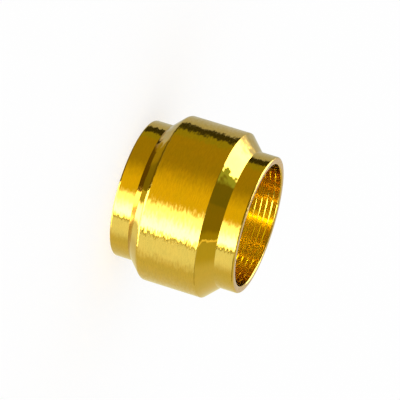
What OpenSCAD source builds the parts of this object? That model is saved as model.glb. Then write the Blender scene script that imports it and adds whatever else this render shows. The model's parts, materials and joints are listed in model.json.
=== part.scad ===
// Compression ring for a 10 mm copper tube: a turned brass olive with two sealing cones.
// It stands on its lower end face. The bore's axis is +Z, and the origin is the centre of the
// lower end face.

/* [Bore] */
// Diameter of the bore, which slides over the tube
bore_d = 10.1; // [9.6:0.05:10.8]
// Depth of the 45 degree break round each mouth of the bore
mouth_break = 0.12; // [0.04:0.01:0.25]

/* [Band] */
// Diameter of the plain band round the middle
band_d = 13.7; // [12.4:0.1:16]
// Length of the band, from the large end of one cone to that of the other
band_w = 4.9; // [2:0.1:10]
// Radius on the band's upper corner, left almost sharp by the tool
band_upper_r = 0.08; // [0.02:0.01:0.6]
// Radius on the band's lower corner, which was rounded more
band_lower_r = 0.3; // [0.02:0.01:0.6]

/* [Sealing cones] */
// Angle between each cone and the axis
cone_angle = 45; // [30:1:60]
// Radius in the corner where each cone meets its collar
root_r = 0.15; // [0.05:0.01:0.4]

/* [Collars] */
// Outside diameter of the thin collar at each end
collar_d = 11.3; // [11.1:0.05:11.9]
// Length of each collar, from the end face to the foot of the cone
collar_w = 1.6; // [0.8:0.05:4]
// Radius on the outer edge of each end face
rim_r = 0.1; // [0.03:0.01:0.2]

/* [Hidden] */
// Number of sides that each full circle is drawn with
$fn = 180;
bore_r = bore_d / 2;
band_r = band_d / 2;
collar_r = collar_d / 2;
cone_h = (band_r - collar_r) / tan(cone_angle);
length = 2 * (collar_w + cone_h) + band_w;
middle = length / 2;
band_top = middle + band_w / 2;
band_base = middle - band_w / 2;
// Directions in the outline, as [radius, height]
up = [0, 1];
down = [0, -1];
inward = [-1, 0];
cone_up = [sin(cone_angle), cos(cone_angle)];
cone_down = [cone_up.x, -cone_up.y];
brass = [0.80, 0.62, 0.20];

// The sliver between a corner and an arc of radius r that is tangent to both of its sides.
// The sides leave the corner in the unit directions a and b, where b is clockwise from a.
module corner_sliver(corner, a, b, r) {
    half = acos(a * b) / 2;
    tangent = r / tan(half);
    centre = (a + b) / norm(a + b) * r / sin(half);
    beyond = -r * (a + b);
    translate(corner) difference() {
        polygon([centre, a * tangent, beyond, b * tangent]);
        translate(centre) circle(r);
    }
}

// Half of the ring's section, with sharp corners: bore, end faces, collars, cones and band
module sharp_outline() {
    polygon([
        [bore_r, 0],
        [collar_r, 0],
        [collar_r, collar_w],
        [band_r, band_base],
        [band_r, band_top],
        [collar_r, length - collar_w],
        [collar_r, length],
        [bore_r, length]
    ]);
}

// The 45 degree break that is cut off one mouth of the bore, at height z
module mouth_cut(z) {
    translate([bore_r, z]) rotate(45) square(mouth_break * sqrt(2), center = true);
}

module outline() {
    difference() {
        union() {
            sharp_outline();
            corner_sliver([collar_r, collar_w], cone_up, down, root_r);
            corner_sliver([collar_r, length - collar_w], up, cone_down, root_r);
        }
        corner_sliver([band_r, band_base], -cone_up, up, band_lower_r);
        corner_sliver([band_r, band_top], down, -cone_down, band_upper_r);
        corner_sliver([collar_r, 0], inward, up, rim_r);
        corner_sliver([collar_r, length], down, inward, rim_r);
        mouth_cut(0);
        mouth_cut(length);
    }
}

module compression_ring() {
    color(brass) rotate_extrude() outline();
}

compression_ring();
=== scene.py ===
"""Looks of a turned brass compression ring, standing on its lower end face in a plain white studio."""

import json
import math

import bpy
from mathutils import Matrix, Vector


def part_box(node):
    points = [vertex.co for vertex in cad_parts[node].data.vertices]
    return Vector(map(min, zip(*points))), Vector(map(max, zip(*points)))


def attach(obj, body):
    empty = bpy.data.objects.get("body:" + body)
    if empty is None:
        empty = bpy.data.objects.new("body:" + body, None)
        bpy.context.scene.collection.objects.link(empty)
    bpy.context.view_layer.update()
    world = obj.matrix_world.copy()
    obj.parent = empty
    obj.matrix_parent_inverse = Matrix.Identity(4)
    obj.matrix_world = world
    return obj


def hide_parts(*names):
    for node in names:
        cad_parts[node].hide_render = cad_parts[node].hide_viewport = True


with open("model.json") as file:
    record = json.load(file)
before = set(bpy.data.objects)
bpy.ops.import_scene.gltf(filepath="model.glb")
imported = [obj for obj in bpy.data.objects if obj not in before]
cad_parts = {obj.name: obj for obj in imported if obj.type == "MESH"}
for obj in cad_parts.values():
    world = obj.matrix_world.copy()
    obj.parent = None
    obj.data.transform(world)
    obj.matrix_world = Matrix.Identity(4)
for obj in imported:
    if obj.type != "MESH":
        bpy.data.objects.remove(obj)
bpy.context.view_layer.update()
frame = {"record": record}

MM = 0.001
NODE = "compression_ring"

# Sizes of the ring in millimetres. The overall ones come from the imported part.
LOW, HIGH = (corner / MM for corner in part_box(NODE))
MOUNTS = {mount["name"]: mount for mount in frame["record"]["mounts"]}
LENGTH = HIGH.z - LOW.z
BAND_R = (HIGH.x - LOW.x) / 2
BORE_R = MOUNTS["tube_bore"]["dims"]["r_mm"]
COLLAR_R = 5.65
COLLAR_W = 1.6
CONE_H = BAND_R - COLLAR_R
RIM_ROUND = 0.15
MOUTH_ROUND = 0.12
BAND_LOWER_ROUND = 0.4
BAND_UPPER_ROUND = 0.08

# Fineness of the mesh
SIDES = 256
ARC_STEPS = 5
ROW_HEIGHT = 0.25

# Tool marks in the bore, in millimetres
FEED = 0.45
MARK_DEPTH = 0.021
MARK_FLANK = 0.2
STEPS_PER_MARK = 10

# Brass
BRASS = (0.62, 0.405, 0.055)
# The bore's brass is a lighter, yellower copy of BRASS: painted light that lifts the shade inside the bore.
BORE_BRASS_PAINTED_LIGHTER = (0.80, 0.62, 0.05)
DENT_SIZE = 0.6
CLOUD_SIZE = 0.9
CLOUD_TINT = (0.03, 0.01, 0.0)
LINE_PITCH = 0.1
NOISE_SPREAD = 0.13
WORN_SIDE = math.radians(-145)

# The view: the photograph looks along the ring at a low angle, and the camera is rolled on its side
VIEW_ELEVATION = math.radians(13.76)
VIEW_ROLL = math.radians(107.14)
VIEW_DISTANCE = 36.97 * BAND_R * MM
LENS = 285.8
SENSOR = 36.0
AIM_RIGHT = 0.0302 * BAND_R * MM
AIM_UP = 0.0764 * BAND_R * MM


def corner_arc(before, corner, after, radius):
    """Points of the arc that rounds a corner of the outline, tangent to both of its sides."""
    a = (before - corner).normalized()
    b = (after - corner).normalized()
    half = a.angle(b) / 2
    centre = corner + (a + b).normalized() * radius / math.sin(half)
    start = corner + a * radius / math.tan(half) - centre
    end = corner + b * radius / math.tan(half) - centre
    turn = start.angle_signed(end)
    points = []
    for step in range(ARC_STEPS + 1):
        angle = -turn * step / ARC_STEPS
        c, s = math.cos(angle), math.sin(angle)
        points.append(centre + Vector((c * start.x - s * start.y, s * start.x + c * start.y)))
    return points


def outline():
    """The closed section of the ring as [(radius, height)], with the zone of the row after each point."""
    top = LENGTH
    corners = [
        (BORE_R, 0, MOUTH_ROUND, "end_face"),
        (COLLAR_R, 0, RIM_ROUND, "collar"),
        (COLLAR_R, COLLAR_W, 0, "cone"),
        (BAND_R, COLLAR_W + CONE_H, BAND_LOWER_ROUND, "band"),
        (BAND_R, top - COLLAR_W - CONE_H, BAND_UPPER_ROUND, "cone"),
        (COLLAR_R, top - COLLAR_W, 0, "collar"),
        (COLLAR_R, top, RIM_ROUND, "end_face"),
        (BORE_R, top, MOUTH_ROUND, "bore"),
    ]
    places = [Vector(c[:2]) for c in corners]
    rounded = []
    for i, (r, z, radius, zone) in enumerate(corners):
        arc = corner_arc(places[i - 1], places[i], places[(i + 1) % len(places)], radius) if radius else [places[i]]
        rounded += [(p, "edge") for p in arc[:-1]] + [(arc[-1], zone)]
    points = []
    for i, (p, zone) in enumerate(rounded):
        q = rounded[(i + 1) % len(rounded)][0]
        if zone == "bore":
            points += feed_marks(p, q)
            continue
        rows = 1 if zone == "edge" else max(1, math.ceil((q - p).length / ROW_HEIGHT))
        points += [(p.lerp(q, row / rows), zone) for row in range(rows)]
    return points


def feed_marks(p, q):
    """The bore's wall from p down to q: shallow scallops that the boring tool left, one for each turn."""
    marks = round((p.y - q.y) / FEED)
    steps = marks * STEPS_PER_MARK
    points = []
    for step in range(steps):
        phase = step % STEPS_PER_MARK / STEPS_PER_MARK
        depth = MARK_DEPTH * min(phase / (1 - MARK_FLANK), (1 - phase) / MARK_FLANK)
        points.append((p.lerp(q, step / steps) + Vector((depth, 0)), "bore"))
    return points


def node_tools(tree):
    """Short helpers that add nodes to a node tree."""
    nodes, links = tree.nodes, tree.links

    def put(socket, value):
        if isinstance(value, bpy.types.NodeSocket):
            links.new(value, socket)
        else:
            socket.default_value = value

    def maths(operation, a, b=0.0, c=0.0):
        node = nodes.new("ShaderNodeMath")
        node.operation = operation
        for socket, value in zip(node.inputs, (a, b, c)):
            put(socket, value)
        return node.outputs[0]

    def ramp(value, low, high, to_low=0.0, to_high=1.0, smooth=True):
        node = nodes.new("ShaderNodeMapRange")
        node.interpolation_type = "SMOOTHSTEP" if smooth else "LINEAR"
        for name, v in (("Value", value), ("From Min", low), ("From Max", high), ("To Min", to_low), ("To Max", to_high)):
            put(node.inputs[name], v)
        return node.outputs[0]

    def mix(factor, a, b):
        node = nodes.new("ShaderNodeMix")
        node.data_type = "RGBA"
        put(node.inputs["Factor"], factor)
        for socket, value in ((node.inputs[6], a), (node.inputs[7], b)):
            put(socket, value if isinstance(value, bpy.types.NodeSocket) else (*value, 1.0))
        return node.outputs[2]

    return nodes, links, put, maths, ramp, mix


def brass(name, roughness, anisotropy, pitch, reach, sway, tilt, streaks, dents=0.0, colour=BRASS):
    """Turned brass. Its fine rings, pitch across and reach along, sway and tilt the surface by a few degrees."""
    material = bpy.data.materials.new(name)
    material.use_nodes = True
    tree = material.node_tree
    nodes, links, put, maths, ramp, mix = node_tools(tree)
    shader = nodes["Principled BSDF"]
    shader.inputs["Metallic"].default_value = 1.0
    shader.inputs["Anisotropic"].default_value = anisotropy
    shader.inputs["Anisotropic Rotation"].default_value = 0.25
    tangent = nodes.new("ShaderNodeTangent")
    tangent.direction_type = "RADIAL"
    tangent.axis = "Z"
    put(shader.inputs["Tangent"], tangent.outputs[0])

    place = nodes.new("ShaderNodeTexCoord").outputs["Object"]
    axes = nodes.new("ShaderNodeSeparateXYZ")
    put(axes.inputs[0], place)
    x, y, z = axes.outputs
    angle = maths("ARCTAN2", y, x)
    chart = nodes.new("ShaderNodeSeparateXYZ")
    put(chart.inputs[0], nodes.new("ShaderNodeTexCoord").outputs["UV"])
    travel = chart.outputs[1]

    def noise(vector, scale, detail):
        node = nodes.new("ShaderNodeTexNoise")
        put(node.inputs["Vector"], vector)
        node.inputs["Scale"].default_value = scale
        node.inputs["Detail"].default_value = detail
        return node.outputs["Fac"]

    def turned_noise(pitch_mm, reach_mm, detail, seed):
        """Noise that changes every pitch_mm across the tool marks, and every reach_mm along them."""
        turns = COLLAR_R / reach_mm
        along = nodes.new("ShaderNodeCombineXYZ")
        put(along.inputs[0], maths("MULTIPLY_ADD", maths("SINE", angle), turns, seed))
        put(along.inputs[1], maths("MULTIPLY", maths("COSINE", angle), turns))
        put(along.inputs[2], maths("MULTIPLY", travel, 1 / pitch_mm))
        return noise(along.outputs[0], 1.0, detail)

    def vector(operation, *values):
        node = nodes.new("ShaderNodeVectorMath")
        node.operation = operation
        for socket, value in zip(node.inputs, values):
            put(socket, value)
        return node.outputs[0]

    def lean(normal, direction, amount, degrees):
        """The normal turned towards a direction; amount is a noise about 0.5, and degrees its usual swing."""
        share = maths("MULTIPLY", maths("SUBTRACT", amount, 0.5), math.radians(degrees) / NOISE_SPREAD)
        across = nodes.new("ShaderNodeVectorMath")
        across.operation = "SCALE"
        put(across.inputs[0], direction)
        put(across.inputs["Scale"], share)
        return vector("ADD", normal, across.outputs[0])

    around = tangent.outputs[0]
    surface = nodes.new("ShaderNodeNewGeometry").outputs["Normal"]
    down = vector("CROSS_PRODUCT", surface, around)
    normal = lean(surface, around, turned_noise(pitch, reach, 1.0, 3.0), sway)
    normal = lean(normal, down, turned_noise(pitch, reach, 1.0, 11.0), tilt)
    if dents:
        worn = ramp(maths("COSINE", maths("SUBTRACT", angle, WORN_SIDE)), 0.75, 0.97)
        spots = mix(worn, (0.5, 0.5, 0.5), noise(place, 1 / (DENT_SIZE * MM), 1.0))
        normal = lean(normal, around, spots, dents)
    put(shader.inputs["Normal"], vector("NORMALIZE", normal))

    cloud = ramp(noise(place, 1 / (CLOUD_SIZE * MM), 2.0), 0.3, 0.7)
    warm, cool = ([c * (1 + sign * t) for c, t in zip(colour, CLOUD_TINT)] for sign in (1, -1))
    lines = ramp(turned_noise(LINE_PITCH, reach, 1.0, 23.0), 0.3, 0.7, 1 - streaks, 1 + streaks)
    shaded = nodes.new("ShaderNodeVectorMath")
    shaded.operation = "SCALE"
    put(shaded.inputs[0], mix(cloud, tuple(warm), tuple(cool)))
    put(shaded.inputs["Scale"], lines)
    put(shader.inputs["Base Color"], shaded.outputs[0])
    put(shader.inputs["Roughness"], ramp(lines, 1 - streaks, 1 + streaks, roughness * 1.15, roughness * 0.85))
    return material


FINISHES = {
    "band": dict(roughness=0.13, anisotropy=0.4, pitch=0.15, reach=0.40, sway=1.3, tilt=0.6, streaks=0.04),
    "cone": dict(roughness=0.05, anisotropy=0.0, pitch=0.30, reach=0.60, sway=0.2, tilt=0.2, streaks=0.02, dents=2.5),
    "collar": dict(roughness=0.11, anisotropy=0.3, pitch=0.15, reach=0.40, sway=0.9, tilt=0.5, streaks=0.03),
    "edge": dict(roughness=0.10, anisotropy=0.0, pitch=0.15, reach=0.25, sway=2.0, tilt=2.0, streaks=0.03),
    "end_face": dict(roughness=0.12, anisotropy=0.0, pitch=0.15, reach=0.25, sway=2.0, tilt=2.0, streaks=0.03),
    # The bore takes the lighter copy of the brass, which paints light into the bore's shade.
    "bore": dict(roughness=0.12, anisotropy=0.8, pitch=0.30, reach=0.60, sway=0.4, tilt=0.6, streaks=0.03, colour=BORE_BRASS_PAINTED_LIGHTER),
}


def make_ring():
    """The ring as one closed lathed mesh, its rows along the outline and its columns round the axis."""
    points = outline()
    rows = len(points)
    zones = list(FINISHES)
    turns = [2 * math.pi * side / SIDES for side in range(SIDES)]
    verts = [(p.x * MM * math.cos(t), p.x * MM * math.sin(t), p.y * MM) for t in turns for p, _ in points]
    faces, slots = [], []
    for side in range(SIDES):
        here, there = side * rows, (side + 1) % SIDES * rows
        for row, (_, zone) in enumerate(points):
            after = (row + 1) % rows
            faces.append((here + row, there + row, there + after, here + after))
            slots.append(zones.index(zone))
    mesh = bpy.data.meshes.new("turned_ring")
    mesh.from_pydata(verts, [], faces)
    mesh.polygons.foreach_set("material_index", slots)
    mesh.polygons.foreach_set("use_smooth", [True] * len(faces))
    reach = [0.0]
    for row in range(rows):
        reach.append(reach[-1] + (points[(row + 1) % rows][0] - points[row][0]).length)
    chart = mesh.uv_layers.new(name="turning")
    for side in range(SIDES):
        for row in range(rows):
            first = 4 * (side * rows + row)
            corners = ((side, row), (side + 1, row), (side + 1, row + 1), (side, row + 1))
            for corner, (column, line) in enumerate(corners):
                chart.data[first + corner].uv = (column / SIDES, reach[line])
    mesh.set_sharp_from_angle(angle=math.radians(35))
    for zone, finish in FINISHES.items():
        mesh.materials.append(brass("brass_" + zone, **finish))
    ring = bpy.data.objects.new("turned_ring", mesh)
    bpy.context.scene.collection.objects.link(ring)
    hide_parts(NODE)
    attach(ring, "root")
    return ring


# The studio that the metal mirrors, in degrees: azimuth 0 is the camera's side and 90 the ring's right,
# elevation 90 is straight up. Softness is the width of the blurred edge at the left, right, bottom and top.
# The colours are linear, where 1 is the white of the background. A later panel covers the ones before it.
PANELS = [
    # name, azimuth, elevation, softness, colour
    ("right_wall", (90, 181), (-58, 62), (30, 1, 8, 4), (0.88, 0.85, 0.54)),
    ("right_glow", (57, 88), (-64, 18), (3, 24, 6, 6), (1.28, 1.42, 1.80)),
    ("left_wall", (-181, -127), (-46, 15), (1, 3, 12, 6), (0.61, 0.62, 0.52)),
    ("back_wall", (-181, -165), (4, 26), (1, 12, 6, 6), (0.80, 0.75, 0.75)),
    ("back_wall_right", (165, 181), (4, 26), (12, 1, 6, 6), (0.80, 0.75, 0.75)),
    ("upper_right_card", (60, 122), (46, 66), (4, 34, 12, 3), (0.71, 0.66, 0.15)),
    ("ceiling", (-181, 181), (63.3, 91), (1, 1, 2, 1), (0.33, 0.27, 0.010)),
    ("ceiling_right", (63, 181), (63.3, 91), (16, 1, 2, 1), (0.52, 0.45, 0.015)),
    ("dark_ceiling", (-90, -24), (60, 91), (4, 10, 4, 1), (0.24, 0.22, 0.015)),
    ("ceiling_gap", (77.6, 81.2), (46, 66), (0.8, 0.8, 2, 1), (1.5, 1.3, 0.5)),
    ("upper_shade", (-110, 12), (6, 60), (4, 6, 10, 4), (0.24, 0.19, 0.02)),
    ("right_shade", (62, 122), (2, 34), (10, 8, 10, 8), (0.40, 0.36, 0.08)),
    ("back_floor", (-181, -108), (-91, -48), (1, 6, 1, 12), (0.47, 0.37, 0.02)),
    ("deep_floor", (-181, -108), (-91, -65), (1, 6, 1, 6), (0.30, 0.25, 0.012)),
    ("low_back_wall", (148, 181), (-91, -60), (8, 1, 1, 10), (0.70, 0.62, 0.08)),
    ("left_floor", (-112, 8), (-91, -34), (6, 6, 1, 10), (0.22, 0.175, 0.010)),
    ("gold_card", (-107, 10), (-34, 8), (6, 6, 10, 8), (0.50, 0.38, 0.008)),
    ("gold_card_lit", (-30, 10), (-36, 14), (44, 4, 10, 8), (1.12, 0.87, 0.018)),
    ("olive_edge", (-109, -94), (-34, 8), (4, 8, 10, 8), (0.43, 0.41, 0.02)),
    ("dark_gap", (-126.5, -107.5), (-46, 24), (3, 5, 8, 8), (0.05, 0.045, 0.003)),
    ("green_edge", (-98, -73), (50, 63), (6, 8, 6, 4), (0.50, 0.66, 0.20)),
    ("rim_softbox", (-172, -92), (27, 56.5), (8, 4, 18, 4), (7.0, 7.0, 7.0)),
    ("key_softbox", (13, 52.5), (-50, 24), (16, 3, 8, 6), (3.6, 3.6, 3.6)),
    ("key_softbox_core", (31, 49), (-50, 24), (22, 6, 8, 6), (11.5, 11.5, 11.5)),
    ("key_softbox_frame", (53.5, 57), (-40, 20), (2, 3, 8, 8), (0.45, 0.45, 0.15)),
    ("low_softbox", (13, 60), (-84, -60), (6, 10, 4, 8), (8.0, 8.0, 8.0)),
    ("low_softbox_front", (-4, 90), (-70, -36), (6, 10, 8, 8), (8.0, 8.0, 8.0)),
    ("low_glow", (60, 120), (-84, -62), (10, 10, 6, 8), (2.0, 2.0, 2.0)),
    ("low_back_glow", (112, 165), (-66, -50), (8, 10, 6, 8), (1.1, 1.15, 0.8)),
    ("low_back_softbox", (112, 156), (-75, -63), (8, 10, 4, 5), (5.0, 5.0, 5.0)),
]


def make_world():
    """White backdrop for the camera. The metal sees it too, with the studio's cards and softboxes in front of it."""
    world = bpy.data.worlds.new("studio")
    bpy.context.scene.world = world
    world.use_nodes = True
    tree = world.node_tree
    nodes, links, put, maths, ramp, mix = node_tools(tree)
    axes = nodes.new("ShaderNodeSeparateXYZ")
    put(axes.inputs[0], nodes.new("ShaderNodeTexCoord").outputs["Generated"])
    x, y, z = axes.outputs
    degrees = 180 / math.pi
    azimuth = maths("MULTIPLY", maths("ARCTAN2", x, maths("MULTIPLY", y, -1.0)), degrees)
    elevation = maths("MULTIPLY", maths("ARCSINE", z), degrees)
    seen = (1.0, 1.0, 1.0)
    for name, (left, right), (low, high), soft, colour in PANELS:
        edges = [
            ramp(azimuth, left - soft[0] / 2, left + soft[0] / 2),
            ramp(azimuth, right + soft[1] / 2, right - soft[1] / 2),
            ramp(elevation, low - soft[2] / 2, low + soft[2] / 2),
            ramp(elevation, high + soft[3] / 2, high - soft[3] / 2),
        ]
        mask = edges[0]
        for edge in edges[1:]:
            mask = maths("MULTIPLY", mask, edge)
        seen = mix(mask, seen, colour)
    path = nodes.new("ShaderNodeLightPath").outputs
    mirrored = maths("MAXIMUM", path["Is Glossy Ray"], path["Is Transmission Ray"])
    background = nodes["Background"]
    put(background.inputs["Color"], mix(mirrored, (1.0, 1.0, 1.0), seen))
    background.inputs["Strength"].default_value = 1.0
    bpy.context.scene.cycles.glossy_bounces = 8


def make_floor():
    """A pale floor that is white to the camera and keeps a soft shadow under the ring."""
    bpy.ops.mesh.primitive_circle_add(vertices=64, radius=0.25, fill_type="NGON", location=(0, 0, 0))
    floor = bpy.context.active_object
    floor.name = "floor"
    material = bpy.data.materials.new("pale_floor")
    material.use_nodes = True
    tree = material.node_tree
    nodes, links, put, maths, ramp, mix = node_tools(tree)
    diffuse = nodes.new("ShaderNodeBsdfDiffuse")
    diffuse.inputs["Color"].default_value = (0.98, 0.98, 0.98, 1.0)
    white = nodes.new("ShaderNodeEmission")
    white.inputs["Strength"].default_value = 1.0
    path = nodes.new("ShaderNodeLightPath").outputs
    seen = maths("MAXIMUM", path["Is Camera Ray"], maths("MAXIMUM", path["Is Glossy Ray"], path["Is Transmission Ray"]))
    blend = nodes.new("ShaderNodeMixShader")
    put(blend.inputs[0], maths("MULTIPLY", seen, 0.7))
    put(blend.inputs[1], diffuse.outputs[0])
    put(blend.inputs[2], white.outputs[0])
    links.new(blend.outputs[0], nodes["Material Output"].inputs["Surface"])
    floor.data.materials.append(material)
    floor.visible_glossy = False
    floor.visible_shadow = False
    return floor


def make_camera():
    camera = bpy.data.objects.new("camera", bpy.data.cameras.new("camera"))
    bpy.context.scene.collection.objects.link(camera)
    camera.data.lens = LENS
    camera.data.sensor_width = SENSOR
    camera.data.clip_start = 0.01
    camera.data.clip_end = 10
    back = Vector((0, -math.cos(VIEW_ELEVATION), math.sin(VIEW_ELEVATION)))
    level_up = Vector((0, math.sin(VIEW_ELEVATION), math.cos(VIEW_ELEVATION)))
    right = Vector((1, 0, 0)) * math.cos(VIEW_ROLL) + level_up * math.sin(VIEW_ROLL)
    up = back.cross(right)
    centre = Vector((0, 0, LENGTH / 2 * MM))
    turn = Matrix((right, up, back)).transposed().to_4x4()
    place = centre + back * VIEW_DISTANCE + right * AIM_RIGHT + up * AIM_UP
    camera.matrix_world = Matrix.Translation(place) @ turn
    bpy.context.scene.camera = camera
    return camera


make_camera()
make_world()
make_floor()
make_ring()
bpy.context.scene.view_settings.view_transform = "Standard"
